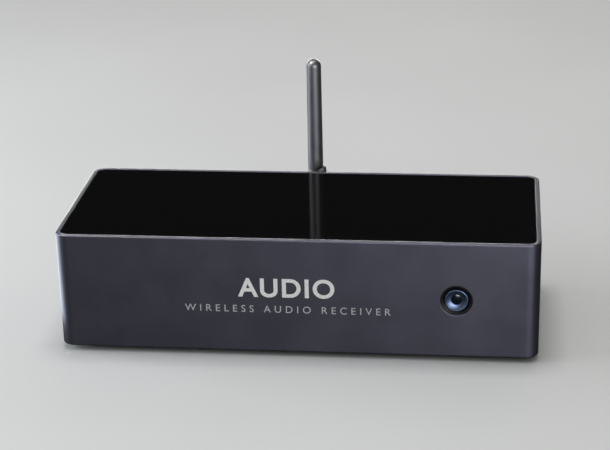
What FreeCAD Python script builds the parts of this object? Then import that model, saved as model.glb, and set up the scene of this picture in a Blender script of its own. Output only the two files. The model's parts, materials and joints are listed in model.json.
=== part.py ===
import FreeCAD, Part
import math
import os

# A small wireless audio receiver for a shelf: a rounded metal band with a dark glass top, a lit push
# button on the front, sockets on the rear panel and a folding aerial.  All sizes are in millimetres.
# +X is right seen from the front, the front faces -Y, +Z is up, and the origin is the middle of the
# footprint on the shelf.

# Body band
BODY_W = 220.0
BODY_D = 90.0
BODY_H = 55.0
CORNER_R = 6.0
EDGE_R = 0.5
WALL = 3.0
REAR_WALL = 4.0
INNER_R = 3.0

# Glass top, taped on a ledge inside a thin lip
LIP_W = 2.0
LEDGE_W = 3.0
LEDGE_T = 2.5
OPENING_R = 1.5
GLASS_T = 2.5
GLASS_BELOW_LIP = 0.15
GLASS_EDGE = 0.4
TAPE_T = 0.5
TAPE_INSET = 0.4

# Underside
PLATE_T = 2.0
FOOT_R = 7.0
FOOT_H = 2.5
FOOT_EDGE_R = 0.8
FOOT_INSET_X = 18.0
FOOT_INSET_Y = 15.0
VENT_COUNT = 9
VENT_PITCH = 6.0
VENT_L = 24.0
VENT_W = 2.0
VENT_X = 45.0
VENT_Y = -2.0

# Clearances, how far a cut runs past a face, and the rounding of small moulded pieces
SEAT_GAP = 0.1
SLIDE_GAP = 0.08
THREAD_GAP = 0.05
OVERSHOOT = 1.0
MOULD_R = 0.5

# Screws: M3 for the casing, M2.5 inside, with sockets and head roundings as shares of the head
M3_R = 1.45
M3_HEAD_R = 2.75
M3_HEAD_H = 1.7
M3_SINK_R = 2.9
M25_R = 1.2
M25_HEAD_R = 2.3
M25_HEAD_H = 1.5
CLEAR_R = 1.6
BOTTOM_SCREW_L = 8.0
PANEL_SCREW_L = 6.5
XLR_SCREW_L = 7.0
SWITCH_SCREW_L = 6.0
BOARD_SCREW_L = 5.0
SOCKET_R_SHARE = 0.5
SOCKET_DEPTH_SHARE = 0.55
HEAD_EDGE_SHARE = 0.45
FLAT_SOCKET_SHARE = 0.8
BOSS_R = 5.0
BOSS_INSET = 4.5
BOSS_HOLE_L = 9.0

# Rear panel, let into the back of the band
PANEL_W = 206.0
PANEL_T = 2.0
PANEL_BOTTOM = 7.0
PANEL_TOP = 52.9
PANEL_CORNER_R = 1.0
WINDOW_W = 188.0
WINDOW_BOTTOM = 8.7
WINDOW_TOP = 51.3
PANEL_SCREW_X = 98.5
PANEL_SCREW_Z = (12.0, 47.5)
PANEL_HOLE_L = 7.0

# Front button: depths are taken back from the front face
BUTTON_X = 72.8
BEZEL_R = 7.25
BEZEL_RIM = 0.45
BEZEL_SET_BACK = 0.05
BEZEL_FLANGE_R = 8.8
BEZEL_DEPTH = 4.5
WELL_DEPTH = 1.0
CAP_R = 5.3
CAP_CREST_R = 4.8
CAP_CREST_DEPTH = 0.15
CAP_EDGE_DEPTH = 0.6
DISH_DEPTH = 1.35
DISH_SAG = 0.15
CAP_POCKET_DEPTH = 2.6
CAP_FLANGE_R = 6.4
CAP_FLANGE_T = 1.05
CAP_DEPTH = 5.6
LENS_R = 2.45
LENS_DEPTH = 1.3
LENS_DOME_R = 8.0
LENS_STEM_R = 1.25
LENS_STEM_L = 6.2

# Switch, lamp and small board behind the button
SWITCH_BOARD_DEPTH = 12.0
SWITCH_BOARD_SIZE = (34.0, 18.0)
SWITCH_SIDE = 12.0
SWITCH_H = 4.0
SWITCH_WELL_FLOOR = 1.2
SWITCH_EYE_R = 1.6
SWITCH_POST_DX = 13.0
SWITCH_POST_R = 3.0
SWITCH_POST_SOLID = 1.0
PLUNGER_R = 2.8
PLUNGER_STOP = 2.2
LAMP_R = 1.4
LAMP_H = 2.0
LAMP_EDGE_R = 0.6

# Flat cable from the small board to the main board
RIBBON_W = 6.0
RIBBON_T = 0.6
RIBBON_BEND_R = 4.0
RIBBON_LEAD = 3.0
HEADER_L = 9.0
HEADER_W = 4.0
HEADER_H = 3.4

# Main board and the parts on it; each chip is given by its x, y, side and height
BOARD_W = 180.0
BOARD_FRONT = -28.0
BOARD_REAR = 42.0
BOARD_T = 1.6
BOARD_CORNER_R = 2.0
STANDOFF_H = 5.0
STANDOFF_R = 2.9
STANDOFF_X = (-84.0, -16.0, 84.0)
STANDOFF_Y = (-22.0, 8.0)
CONVERTER_CHIP = (-30.0, -8.0, 10.0, 1.4)
CONTROL_CHIP = (-56.0, -8.0, 14.0, 1.6)
CAN_R = 4.0
CAN_H = 11.0
CAN_X = (25.0, 37.0, 49.0, 61.0)
CAN_Y = (-18.0, 2.0)
CAN_EDGE_R = 0.6
CHIP_DIMPLE_R = 0.5
CHIP_DIMPLE_DEPTH = 0.2
CHIP_DIMPLE_SHARE = 0.35

# Balanced output sockets
XLR_X = {"left": 78.0, "right": 50.0}
XLR_Z = 29.5
XLR_FLANGE_W = 26.0
XLR_FLANGE_H = 31.0
XLR_FLANGE_T = 2.2
XLR_RING_W = 1.6
XLR_RING_H = 0.8
XLR_BARREL_R = 11.8
XLR_SOCKET_R = 8.15
XLR_KEY_W = 2.6
XLR_KEY_H = 0.9
XLR_DEPTH = 21.0
XLR_FLOOR_DEPTH = 12.0
XLR_FOOT_W = 15.0
XLR_FOOT_SHORT = 2.0
XLR_CORNER_R = 2.5
XLR_EDGE = 0.5
XLR_ROOT_SHORT = 2.0
XLR_PIN_R = 1.2
XLR_PIN_TIP_R = 0.8
XLR_PIN_ROOT_R = 0.95
XLR_PIN_OUT = 0.5
XLR_PIN_CIRCLE_R = 3.8
XLR_SCREW_DX = 9.5
XLR_SCREW_DZ = 12.0

# Stacked phono sockets
RCA_X = {"analog_out": 26.0, "analog_in": -26.0, "coax": -43.0}
RCA_Z = (22.0, 37.0)
RCA_NOSE_R = 5.1
RCA_NOSE_OUT = 1.0
RCA_BLOCK_W = 10.6
RCA_BLOCK_D = 15.0
RCA_BLOCK_ABOVE = 7.0
RCA_SLEEVE_R = 4.15
RCA_SLEEVE_OUT = 9.5
RCA_SLEEVE_EDGE = 0.35
RCA_ROOT_R = 3.85
RCA_ROOT_DEPTH = 9.0
RCA_BORE_R = 3.3
RCA_INSULATOR_DEPTH = 8.5
RCA_INSULATOR_SHORT = 0.5
RCA_CONTACT_OUTER_R = 2.0
RCA_CONTACT_R = 1.65
RCA_CONTACT_SHORT = 1.0
RCA_CONTACT_BLIND = 2.0

# Optical sockets, each with a flap hinged at the top of its port
OPTICAL_X = {"out": -58.0, "in": -71.0}
OPTICAL_SIDE = 10.0
OPTICAL_DEPTH = 12.0
OPTICAL_OUT = 1.6
OPTICAL_PORT = 8.2
OPTICAL_PORT_DEPTH = 9.0
OPTICAL_PORT_BEVEL = 1.3
OPTICAL_EYE_R = 1.6
OPTICAL_LENS_R = 1.5
OPTICAL_LENS_L = 5.0
OPTICAL_ELEMENT_W = 8.0
OPTICAL_ELEMENT_T = 3.5
SHUTTER_T = 0.9
SHUTTER_GAP = 0.1
SHUTTER_AXIS_IN = 0.75
SHUTTER_AXIS_BELOW = 0.6
SHUTTER_AXLE_R = 0.4
SHUTTER_AXLE_L = 9.2
SHUTTER_DIMPLE_R = 1.4
SHUTTER_DIMPLE_DEPTH = 0.4

# Power inlet
DC_X = -85.0
DC_SIDE = 10.0
DC_DEPTH = 14.0
DC_NOSE_R = 4.6
DC_NOSE_OUT = 0.8
DC_PORT_R = 3.1
DC_PORT_DEPTH = 8.5
DC_PIN_R = 1.05
DC_PIN_IN = 0.6
DC_PIN_TIP_R = 0.6
DC_PIN_ROOT_R = 0.8
DC_PIN_ROOT_L = 3.4

# Mode switch, seen at the left end of its travel
MODE_X = 0.0
MODE_Z = 17.0
MODE_TRAVEL = 3.0
MODE_BODY_W = 13.0
MODE_BODY_D = 9.0
MODE_BODY_ABOVE = 3.2
MODE_SKIN = 1.0
MODE_BACK_T = 1.5
MODE_HOLLOW = (10.4, 4.2)
MODE_SLOT = (6.4, 3.0)
MODE_WINDOW = (7.4, 3.8)
MODE_KNOB = (2.8, 2.7)
MODE_KNOB_R = 0.4
MODE_KNOB_OUT = 2.6
MODE_SHOE = (5.0, 4.0)
MODE_SHOE_T = 2.3
MODE_SHOE_GAP = 0.2
MODE_GROOVE_W = 0.3
MODE_GROOVE_PITCH = 0.8

# Aerial: the coupling nut is fixed, the knuckle swivels in it and the whip folds on the knuckle
AERIAL_X = -1.5
AERIAL_Z = 47.5
SMA_R = 3.15
SMA_END = 52.2
SMA_BORE_R = 2.2
SMA_BORE_L = 4.0
SMA_PIN_R = 0.45
SMA_PIN_SHORT = 1.0
SMA_FLANGE_R = 3.75
SMA_FLANGE_T = 1.6
SMA_TAIL_R = 1.5
SMA_TAIL_L = 3.9
WASHER_T = 0.6
NUT_R = 4.6
NUT_T = 2.2
COUPLING_R = 4.9
COUPLING_START = 48.2
COUPLING_END = 57.0
COUPLING_EDGE_R = 0.5
SHOULDER_Y = 53.4
FLUTE_COUNT = 20
FLUTE_R = 0.4
FLUTE_REACH = 5.05
FLUTE_INSET = 1.0
SPINDLE_R = 2.5
SPINDLE_END_GAP = 0.3
WEB_H = 9.4
WEB_R = 6.0
HINGE_Y = 65.0
HINGE_R = 5.7
HINGE_PIN_R = 1.2
HINGE_HEAD_R = 2.2
HINGE_HEAD_T = 0.6
HINGE_TAIL_R = 1.8
HINGE_TAIL_T = 0.4
HINGE_PRESS_GAP = 0.02
HINGE_FREE_GAP = 0.06
EAR_X = (1.3, 5.0)
EAR_EDGE_R = 1.2
BLADE_X = (-3.8, 1.2)
BLADE_R = 5.3
BLADE_EDGE_R = 0.5
WHIP_TOP_R = 3.6
WHIP_BASE_R = 3.8
WHIP_TIP_Z = 109.2
WHIP_GAP = 0.2
WHIP_BORE_X = -1.0
WHIP_BORE_R = 1.5
WHIP_BORE_SHORT = 5.0
ELEMENT_R = 1.3
ELEMENT_START = 2.0
ELEMENT_SHORT = 0.5

# Wireless module and the lead that joins it to the aerial's socket
MODULE_Y = 18.0
MODULE_SIZE = (15.0, 26.0)
MODULE_T = 1.0
MODULE_CAN_SIZE = (13.0, 15.0)
MODULE_CAN_H = 2.6
MODULE_CAN_R = 0.8
MODULE_CAN_DY = 4.0
LEAD_Y = 12.0
LEAD_R = 0.65
LEAD_BEND_R = 6.0
LEAD_SOCKET_R = 1.5
LEAD_SOCKET_ABOVE = 1.2

# Places worked out from the sizes above
HALF_W = BODY_W / 2
FRONT = -BODY_D / 2
REAR = BODY_D / 2
BASE = FOOT_H
TOP = BASE + BODY_H
MID_Z = BASE + BODY_H / 2
LEDGE_TOP = TOP - GLASS_BELOW_LIP - GLASS_T - TAPE_T
LEDGE_BOTTOM = LEDGE_TOP - LEDGE_T
GLASS_Z = (LEDGE_TOP + TAPE_T, LEDGE_TOP + TAPE_T + GLASS_T)
PLATE_TOP = BASE + PLATE_T
INNER_FRONT = FRONT + WALL
INNER_REAR = REAR - REAR_WALL
PANEL_IN = REAR - PANEL_T
THROUGH_PANEL = (PANEL_IN - OVERSHOOT, REAR + OVERSHOOT)
BOARD_Z = PLATE_TOP + STANDOFF_H
BOARD_TOP = BOARD_Z + BOARD_T
CAP_BACK = FRONT + CAP_DEPTH
SWITCH_BOARD_FRONT = FRONT + SWITCH_BOARD_DEPTH
SWITCH_BOARD_BACK = SWITCH_BOARD_FRONT + BOARD_T
XLR_FACE = REAR + XLR_FLANGE_T
XLR_FLOOR = REAR - XLR_FLOOR_DEPTH
XLR_BACK = REAR - XLR_DEPTH
RCA_NOSE_END = REAR + RCA_NOSE_OUT
RCA_SLEEVE_END = REAR + RCA_SLEEVE_OUT
OPTICAL_Z = BOARD_TOP + OPTICAL_SIDE / 2
OPTICAL_BACK = REAR - OPTICAL_DEPTH
SHUTTER_AXIS_Y = REAR + OPTICAL_OUT - SHUTTER_AXIS_IN
SHUTTER_AXIS_Z = OPTICAL_Z + OPTICAL_PORT / 2 - SHUTTER_AXIS_BELOW
DC_Z = BOARD_TOP + DC_SIDE / 2
DC_FLOOR = REAR - DC_PORT_DEPTH
LEAD_START = PANEL_IN - SMA_FLANGE_T - SMA_TAIL_L
WHIP_START = AERIAL_Z + HINGE_R + WHIP_GAP
WHIP_BORE_TOP = WHIP_TIP_Z - WHIP_BORE_SHORT
MODULE_TOP = BOARD_TOP + MODULE_T + MODULE_CAN_H
LEAD_END = MODULE_TOP + LEAD_SOCKET_ABOVE

Vec = FreeCAD.Vector
X = Vec(1, 0, 0)
Y = Vec(0, 1, 0)
Z = Vec(0, 0, 1)


# Basic solids

def block(x, y, z):
    """A box between three (low, high) spans."""
    return Part.makeBox(x[1] - x[0], y[1] - y[0], z[1] - z[0], Vec(x[0], y[0], z[0]))


def about(middle, width):
    """The span of a width about its middle."""
    return (middle - width / 2, middle + width / 2)


def edges_along(shape, axis):
    """The straight edges of a shape that run along an axis."""
    found = []
    for edge in shape.Edges:
        straight = edge.Curve.TypeId == "Part::GeomLine"
        if straight and abs(edge.tangentAt(edge.FirstParameter).dot(axis)) > 0.999:
            found.append(edge)
    return found


def edges_at(shape, height, axis=Z):
    """The edges of a shape that lie in one plane across an axis."""
    found = []
    for edge in shape.Edges:
        heights = [vertex.Point.dot(axis) for vertex in edge.Vertexes]
        heights.append(edge.valueAt((edge.FirstParameter + edge.LastParameter) / 2).dot(axis))
        if max(heights) - min(heights) < 1e-6 and abs(heights[0] - height) < 1e-6:
            found.append(edge)
    return found


def rounded(x, y, z, radius, axis=Z):
    """A box whose four edges along one axis are rounded."""
    shape = block(x, y, z)
    return shape.makeFillet(radius, edges_along(shape, axis))


def bevelled(x, y, z, size):
    """A box along Y with its two lower edges cut off."""
    shape = block(x, y, z)
    low = [edge for edge in edges_along(shape, Y) if edge.Vertexes[0].Z < z[0] + 0.01]
    return shape.makeChamfer(size, low)


def rod(radius, y, x, z):
    """A cylinder along Y at a place on the front or rear face."""
    return Part.makeCylinder(radius, y[1] - y[0], Vec(x, y[0], z), Y)


def tube(outer, inner, y, x, z):
    """A sleeve along Y."""
    return rod(outer, y, x, z).cut(rod(inner, y, x, z))


def post(radius, z, x, y):
    """A cylinder along Z."""
    return Part.makeCylinder(radius, z[1] - z[0], Vec(x, y, z[0]))


def axle(radius, length, x, y, z):
    """A cylinder along X about a middle point."""
    return Part.makeCylinder(radius, length, Vec(x - length / 2, y, z), X)


def hexagon(radius, height):
    """A hexagonal prism up the Z axis."""
    turns = [k * math.pi / 3 for k in range(7)]
    corners = [Vec(radius * math.cos(turn), radius * math.sin(turn), 0) for turn in turns]
    return Part.Face(Part.makePolygon(corners)).extrude(Z * height)


def aimed(shape, at, direction):
    """Moves a shape modelled up the Z axis so that it starts at a place and points along a direction."""
    moved = shape.copy()
    moved.Placement = FreeCAD.Placement(at, FreeCAD.Rotation(Z, direction))
    return moved


def behind_front(radius, depth):
    """A point of a profile turned about the button's axis, from its radius and depth."""
    return Vec(BUTTON_X + radius, FRONT + depth, MID_Z)


def turned_on_button(edges):
    """A solid turned about the button's axis from the edges of a closed profile."""
    outline = Part.Wire(Part.__sortEdges__(edges))
    return Part.Face(outline).revolve(Vec(BUTTON_X, 0, MID_Z), Y, 360)


# Screws

def pan_screw(at, outward, radius, head_r, head_h, length):
    """A pan head screw with a hexagon socket, its head's underside at a place."""
    head = Part.makeCylinder(head_r, head_h)
    head = head.makeFillet(head_h * HEAD_EDGE_SHARE, edges_at(head, head_h))
    shank = Part.makeCylinder(radius, length, Vec(0, 0, -length))
    socket = hexagon(head_r * SOCKET_R_SHARE, head_h)
    socket.translate(Z * head_h * (1 - SOCKET_DEPTH_SHARE))
    return aimed(head.fuse(shank).cut(socket), at, outward)


def flat_screw(at, outward, length):
    """An M3 countersunk screw with a hexagon socket, its face level with a surface."""
    sink = M3_SINK_R - M3_R
    head = Part.makeCone(M3_R, M3_SINK_R, sink, Vec(0, 0, -sink))
    shank = Part.makeCylinder(M3_R, length - sink, Vec(0, 0, -length))
    socket = hexagon(M3_R * FLAT_SOCKET_SHARE, sink)
    socket.translate(Z * -sink * FLAT_SOCKET_SHARE)
    return aimed(head.fuse(shank).cut(socket), at, outward)


def casing_screw(at, outward, length):
    return pan_screw(at, outward, M3_R, M3_HEAD_R, M3_HEAD_H, length)


def small_screw(at, outward, length):
    return pan_screw(at, outward, M25_R, M25_HEAD_R, M25_HEAD_H, length)


# Casing

def boss_places():
    """The four corners where the bottom plate screws into the band."""
    reach_x = HALF_W - WALL - BOSS_INSET
    rows = (INNER_FRONT + BOSS_INSET, INNER_REAR - BOSS_INSET)
    return [(side * reach_x, y) for side in (-1, 1) for y in rows]


def panel_screw_places():
    return [(side * PANEL_SCREW_X, z) for side in (-1, 1) for z in PANEL_SCREW_Z]


def switch_post_x():
    return [BUTTON_X + side * SWITCH_POST_DX for side in (-1, 1)]


def frame_span(inset):
    """The x and y spans of the body drawn in by an inset on every side."""
    return about(0, BODY_W - 2 * inset), about(0, BODY_D - 2 * inset)


def enclosure_shell():
    """The band: four walls in one, with a lip and ledge for the glass and a window for the rear panel."""
    band = rounded(*frame_span(0), (BASE, TOP), CORNER_R)
    band = band.makeFillet(EDGE_R, edges_at(band, TOP) + edges_at(band, BASE))
    inner_y = (INNER_FRONT, INNER_REAR)
    band = band.cut(rounded(about(0, BODY_W - 2 * WALL), inner_y, (BASE - OVERSHOOT, LEDGE_BOTTOM), INNER_R))
    band = band.cut(rounded(*frame_span(LIP_W + LEDGE_W), (BASE, TOP), OPENING_R))
    band = band.cut(rounded(*frame_span(LIP_W), (LEDGE_TOP, TOP + OVERSHOOT), CORNER_R - LIP_W))
    for x, y in boss_places():
        band = band.fuse(post(BOSS_R, (PLATE_TOP, LEDGE_BOTTOM), x, y))
        band = band.cut(post(M3_R + THREAD_GAP, (PLATE_TOP, PLATE_TOP + BOSS_HOLE_L), x, y))
    window_y = (INNER_REAR - REAR_WALL, REAR + OVERSHOOT)
    band = band.cut(block(about(0, WINDOW_W), window_y, (WINDOW_BOTTOM, WINDOW_TOP)))
    panel_z = (PANEL_BOTTOM - SEAT_GAP, PANEL_TOP + SEAT_GAP)
    panel_x = about(0, PANEL_W + 2 * SEAT_GAP)
    band = band.cut(rounded(panel_x, (PANEL_IN, REAR + OVERSHOOT), panel_z, PANEL_CORNER_R, Y))
    for x, z in panel_screw_places():
        band = band.cut(rod(M3_R + THREAD_GAP, (REAR - PANEL_HOLE_L, REAR), x, z))
    post_hole_y = (INNER_FRONT + SWITCH_POST_SOLID, SWITCH_BOARD_FRONT)
    for x in switch_post_x():
        band = band.fuse(rod(SWITCH_POST_R, (INNER_FRONT, SWITCH_BOARD_FRONT), x, MID_Z))
        band = band.cut(rod(M25_R + THREAD_GAP, post_hole_y, x, MID_Z))
    button_hole = rod(BEZEL_R + SEAT_GAP / 2, (FRONT - OVERSHOOT, INNER_FRONT), BUTTON_X, MID_Z)
    return band.cut(button_hole).removeSplitter()


def top_glass():
    """The dark glass, set just below the lip, with a fine bevel round its upper edge."""
    reach = LIP_W + SEAT_GAP
    glass = rounded(*frame_span(reach), GLASS_Z, CORNER_R - reach)
    return glass.makeChamfer(GLASS_EDGE, edges_at(glass, GLASS_Z[1]))


def glass_tape():
    """The adhesive frame between the ledge and the glass."""
    outer = LIP_W + TAPE_INSET
    inner = LIP_W + LEDGE_W - TAPE_INSET
    z = (LEDGE_TOP, LEDGE_TOP + TAPE_T)
    frame = rounded(*frame_span(outer), z, CORNER_R - outer)
    return frame.cut(rounded(*frame_span(inner), z, OPENING_R))


def bottom_plate():
    """The closing plate: countersunk at its corners, with two rows of slots for air."""
    gap = 2 * SEAT_GAP
    x = about(0, BODY_W - 2 * WALL - 2 * gap)
    plate = rounded(x, (INNER_FRONT + gap, INNER_REAR - gap), (BASE, PLATE_TOP), INNER_R - gap)
    sink = M3_SINK_R - M3_R
    for bx, by in boss_places():
        cone = Part.makeCone(M3_SINK_R + THREAD_GAP, M3_R + THREAD_GAP, sink, Vec(bx, by, BASE))
        plate = plate.cut([post(M3_R + THREAD_GAP, (BASE, PLATE_TOP), bx, by), cone])
    slot_z = (BASE - OVERSHOOT, PLATE_TOP + OVERSHOOT)
    for side in (-1, 1):
        for index in range(VENT_COUNT):
            slot_x = side * VENT_X + (index - (VENT_COUNT - 1) / 2) * VENT_PITCH
            slot = rounded(about(slot_x, VENT_W), about(VENT_Y, VENT_L), slot_z, VENT_W * 0.49)
            plate = plate.cut(slot)
    return plate


def bottom_screws():
    return Part.makeCompound([flat_screw(Vec(x, y, BASE), -Z, BOTTOM_SCREW_L) for x, y in boss_places()])


def foot(side_x, side_y):
    """A soft round foot stuck to the bottom plate."""
    shape = post(FOOT_R, (0, FOOT_H), side_x * (HALF_W - FOOT_INSET_X), side_y * (REAR - FOOT_INSET_Y))
    return shape.makeFillet(FOOT_EDGE_R, edges_at(shape, 0))


def rear_panel():
    """The panel that carries the sockets."""
    panel_z = (PANEL_BOTTOM, PANEL_TOP)
    panel = rounded(about(0, PANEL_W), (PANEL_IN, REAR), panel_z, PANEL_CORNER_R, Y)
    cuts = [rod(CLEAR_R, THROUGH_PANEL, x, z) for x, z in panel_screw_places() + xlr_screw_places()]
    cuts += [rod(XLR_BARREL_R + 2 * SEAT_GAP, THROUGH_PANEL, x, XLR_Z) for x in XLR_X.values()]
    cuts += [rod(RCA_NOSE_R + SEAT_GAP, THROUGH_PANEL, x, z) for x, z in rca_places(RCA_X)]
    side = OPTICAL_SIDE + 2 * SEAT_GAP
    cuts += [block(about(x, side), THROUGH_PANEL, about(OPTICAL_Z, side)) for x in OPTICAL_X.values()]
    cuts.append(rod(DC_NOSE_R + 2 * SEAT_GAP, THROUGH_PANEL, DC_X, DC_Z))
    cuts.append(block(about(MODE_X, MODE_WINDOW[0]), THROUGH_PANEL, about(MODE_Z, MODE_WINDOW[1])))
    cuts.append(rod(SMA_R + THREAD_GAP, THROUGH_PANEL, AERIAL_X, AERIAL_Z))
    return panel.cut(cuts)


def rear_panel_screws():
    return Part.makeCompound(
        [casing_screw(Vec(x, REAR, z), Y, PANEL_SCREW_L) for x, z in panel_screw_places()]
    )


# Front button and its switch

def button_bezel():
    """A black ring from inside the front wall, with a sloped well in front of the cap."""
    bore = CAP_R + SLIDE_GAP
    profile = [
        (bore, WELL_DEPTH), (BEZEL_R - BEZEL_RIM, BEZEL_SET_BACK), (BEZEL_R, BEZEL_SET_BACK),
        (BEZEL_R, WALL), (BEZEL_FLANGE_R, WALL), (BEZEL_FLANGE_R, BEZEL_DEPTH), (bore, BEZEL_DEPTH),
    ]
    points = [behind_front(radius, depth) for radius, depth in profile]
    return turned_on_button(Part.makePolygon(points + points[:1]).Edges)


def power_button():
    """The cap: a rounded rim, a dish round a pocket for the lens, and a flange that stops it."""
    at = behind_front
    hole_r = LENS_STEM_R + THREAD_GAP
    pocket_r = LENS_R + THREAD_GAP
    edge = at(CAP_R, CAP_EDGE_DEPTH)
    crest = at(CAP_CREST_R, CAP_CREST_DEPTH)
    dish = at(pocket_r, DISH_DEPTH)
    edge_bend = (CAP_R - CAP_CREST_R) * 0.3
    rim_bend = (CAP_EDGE_DEPTH - CAP_CREST_DEPTH) * 0.3
    curves = [
        Part.Arc(edge, at(CAP_R - edge_bend, CAP_CREST_DEPTH + rim_bend), crest).toShape(),
        Part.Arc(crest, (crest + dish) / 2 + Y * DISH_SAG, dish).toShape(),
    ]
    flange_front = CAP_DEPTH - CAP_FLANGE_T
    rest = Part.makePolygon([
        dish, at(pocket_r, CAP_POCKET_DEPTH), at(hole_r, CAP_POCKET_DEPTH), at(hole_r, CAP_DEPTH),
        at(CAP_FLANGE_R, CAP_DEPTH), at(CAP_FLANGE_R, flange_front), at(CAP_R, flange_front), edge,
    ])
    return turned_on_button(curves + rest.Edges)


def light_pipe():
    """The smoked lens in the cap, slightly domed, on a stem that carries the lamp's light to it."""
    head = rod(LENS_R, (FRONT + LENS_DEPTH, FRONT + CAP_POCKET_DEPTH), BUTTON_X, MID_Z)
    dome = Part.makeSphere(LENS_DOME_R, behind_front(0, LENS_DEPTH + LENS_DOME_R))
    stem_y = FRONT + CAP_POCKET_DEPTH
    stem = rod(LENS_STEM_R, (stem_y, stem_y + LENS_STEM_L), BUTTON_X, MID_Z)
    return head.common(dome).fuse(stem)


def tact_plunger():
    """The switch's ring-shaped plunger, which the cap bears on."""
    return tube(PLUNGER_R, SWITCH_EYE_R, (CAP_BACK, SWITCH_BOARD_FRONT - PLUNGER_STOP), BUTTON_X, MID_Z)


def tact_switch():
    """The switch body, with a well for the plunger and a hole for the lamp."""
    y = (SWITCH_BOARD_FRONT - SWITCH_H, SWITCH_BOARD_FRONT)
    body = rounded(about(BUTTON_X, SWITCH_SIDE), y, about(MID_Z, SWITCH_SIDE), MOULD_R, Y)
    well = rod(PLUNGER_R + SLIDE_GAP, (y[0], SWITCH_BOARD_FRONT - SWITCH_WELL_FLOOR), BUTTON_X, MID_Z)
    return body.cut([well, rod(SWITCH_EYE_R, y, BUTTON_X, MID_Z)])


def status_led():
    """The lamp, in the eye of the switch."""
    lamp = rod(LAMP_R, (SWITCH_BOARD_FRONT - LAMP_H, SWITCH_BOARD_FRONT), BUTTON_X, MID_Z)
    return lamp.makeFillet(LAMP_EDGE_R, edges_at(lamp, SWITCH_BOARD_FRONT - LAMP_H, Y))


def switch_board():
    y = (SWITCH_BOARD_FRONT, SWITCH_BOARD_BACK)
    width, height = SWITCH_BOARD_SIZE
    board = rounded(about(BUTTON_X, width), y, about(MID_Z, height), BOARD_CORNER_R, Y)
    return board.cut([rod(CLEAR_R, y, x, MID_Z) for x in switch_post_x()])


def switch_board_screws():
    return Part.makeCompound(
        [small_screw(Vec(x, SWITCH_BOARD_BACK, MID_Z), Y, SWITCH_SCREW_L) for x in switch_post_x()]
    )


def ribbon_cable():
    """The flat cable: straight back from the switch board, round one bend and down to the main board."""
    x = about(BUTTON_X, RIBBON_W)
    start = SWITCH_BOARD_BACK + HEADER_H
    bend_y = start + RIBBON_LEAD
    bend_z = MID_Z - RIBBON_BEND_R
    straight = block(x, (start, bend_y), about(MID_Z, RIBBON_T))
    drop = block(x, about(bend_y + RIBBON_BEND_R, RIBBON_T), (BOARD_TOP + HEADER_H, bend_z))
    radii = (RIBBON_BEND_R + RIBBON_T / 2, RIBBON_BEND_R - RIBBON_T / 2)
    outer, inner = [axle(radius, RIBBON_W, BUTTON_X, bend_y, bend_z) for radius in radii]
    quarter = block(x, (bend_y, bend_y + 2 * RIBBON_BEND_R), (bend_z, bend_z + 2 * RIBBON_BEND_R))
    return straight.fuse([outer.cut(inner).common(quarter), drop]).removeSplitter()


def ribbon_headers():
    """The two identical connectors that the flat cable plugs into."""
    y = (SWITCH_BOARD_BACK, SWITCH_BOARD_BACK + HEADER_H)
    drop_y = y[1] + RIBBON_LEAD + RIBBON_BEND_R
    upper = rounded(about(BUTTON_X, HEADER_L), y, about(MID_Z, HEADER_W), MOULD_R, Y)
    z = (BOARD_TOP, BOARD_TOP + HEADER_H)
    lower = rounded(about(BUTTON_X, HEADER_L), about(drop_y, HEADER_W), z, MOULD_R)
    return Part.makeCompound([upper, lower])


# Balanced output sockets

def xlr_screw_places():
    """Two screws per socket, at opposite corners of its flange."""
    return [
        (x + side * XLR_SCREW_DX, XLR_Z - side * XLR_SCREW_DZ) for x in XLR_X.values() for side in (-1, 1)
    ]


def xlr_pin_places(x):
    """Three pins on a circle, one at the bottom."""
    turns = [math.radians(angle) for angle in (0, 120, 240)]
    reach = XLR_PIN_CIRCLE_R
    return [(x + reach * math.sin(turn), XLR_Z - reach * math.cos(turn)) for turn in turns]


def xlr_housing(x):
    """One socket: a flange and raised ring outside the panel, and a barrel on a foot inside it."""
    square = (about(x, XLR_FLANGE_W), (REAR, XLR_FACE), about(XLR_Z, XLR_FLANGE_H))
    flange = rounded(*square, XLR_CORNER_R, Y)
    flange = flange.makeChamfer(XLR_EDGE, edges_at(flange, XLR_FACE, Y))
    ring_end = XLR_FACE + XLR_RING_H
    ring = rod(XLR_SOCKET_R + XLR_RING_W, (XLR_FACE, ring_end), x, XLR_Z)
    ring = ring.makeFillet(XLR_EDGE, edges_at(ring, ring_end, Y))
    barrel = rod(XLR_BARREL_R, (XLR_BACK, REAR), x, XLR_Z)
    foot_block = block(about(x, XLR_FOOT_W), (XLR_BACK, PANEL_IN - XLR_FOOT_SHORT), (BOARD_TOP, XLR_Z))
    body = flange.fuse([ring, barrel, foot_block])
    key_z = (XLR_Z, XLR_Z + XLR_SOCKET_R + XLR_KEY_H)
    cuts = [rod(XLR_SOCKET_R, (XLR_FLOOR, ring_end), x, XLR_Z)]
    cuts.append(block(about(x, XLR_KEY_W), (XLR_FLOOR, ring_end), key_z))
    root_r = XLR_PIN_ROOT_R + THREAD_GAP
    root_y = (XLR_BACK + XLR_ROOT_SHORT, XLR_FLOOR)
    cuts += [rod(root_r, root_y, pin_x, pin_z) for pin_x, pin_z in xlr_pin_places(x)]
    cuts += [rod(CLEAR_R, (REAR, XLR_FACE), screw_x, z) for screw_x, z in xlr_screw_places()]
    return body.cut(cuts).removeSplitter()


def xlr_pins(x):
    """Three contact pins with rounded tips and thinner roots in the socket's floor."""
    tip = REAR + XLR_PIN_OUT
    root_y = (XLR_BACK + XLR_ROOT_SHORT + SEAT_GAP, XLR_FLOOR)
    pins = []
    for pin_x, pin_z in xlr_pin_places(x):
        pin = rod(XLR_PIN_R, (XLR_FLOOR, tip), pin_x, pin_z)
        pin = pin.makeFillet(XLR_PIN_TIP_R, edges_at(pin, tip, Y))
        pins.append(pin.fuse(rod(XLR_PIN_ROOT_R, root_y, pin_x, pin_z)))
    return Part.makeCompound(pins)


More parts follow.
